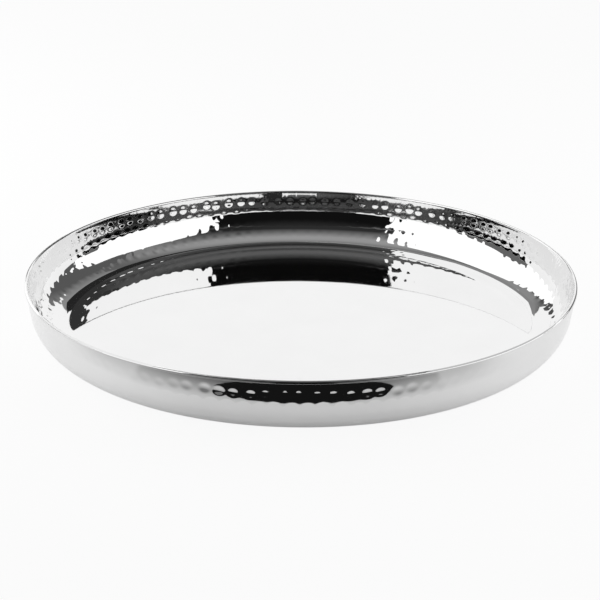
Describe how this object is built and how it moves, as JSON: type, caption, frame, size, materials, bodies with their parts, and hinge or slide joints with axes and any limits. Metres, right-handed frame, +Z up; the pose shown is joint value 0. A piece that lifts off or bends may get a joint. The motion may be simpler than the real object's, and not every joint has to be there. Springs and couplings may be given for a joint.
{
  "type": "round serving tray",
  "caption": "Round serving tray in mirror-polished steel with a flat floor, a low hammered wall of two nested skins, a rolled lip and soft pads under the base",
  "frame": {"origin": "on the table, under the middle of the tray, level with the undersides of the feet", "axes": "+Z up along the tray's axis of turning; the feet lie on the diagonals between X and Y"},
  "size_m": [0.38, 0.38, 0.0421],
  "materials": {
    "mirror_steel": "polished",
    "polished_steel": "polished",
    "plug_silicone": "satin",
    "foot_silicone": "satin"
  },
  "bodies": {
    "root": {"inner_pan": "mirror_steel", "outer_shell": "polished_steel", "vent_plug": "plug_silicone", "foot_1": "foot_silicone", "foot_2": "foot_silicone", "foot_3": "foot_silicone", "foot_4": "foot_silicone"}
  },
  "joints": []
}
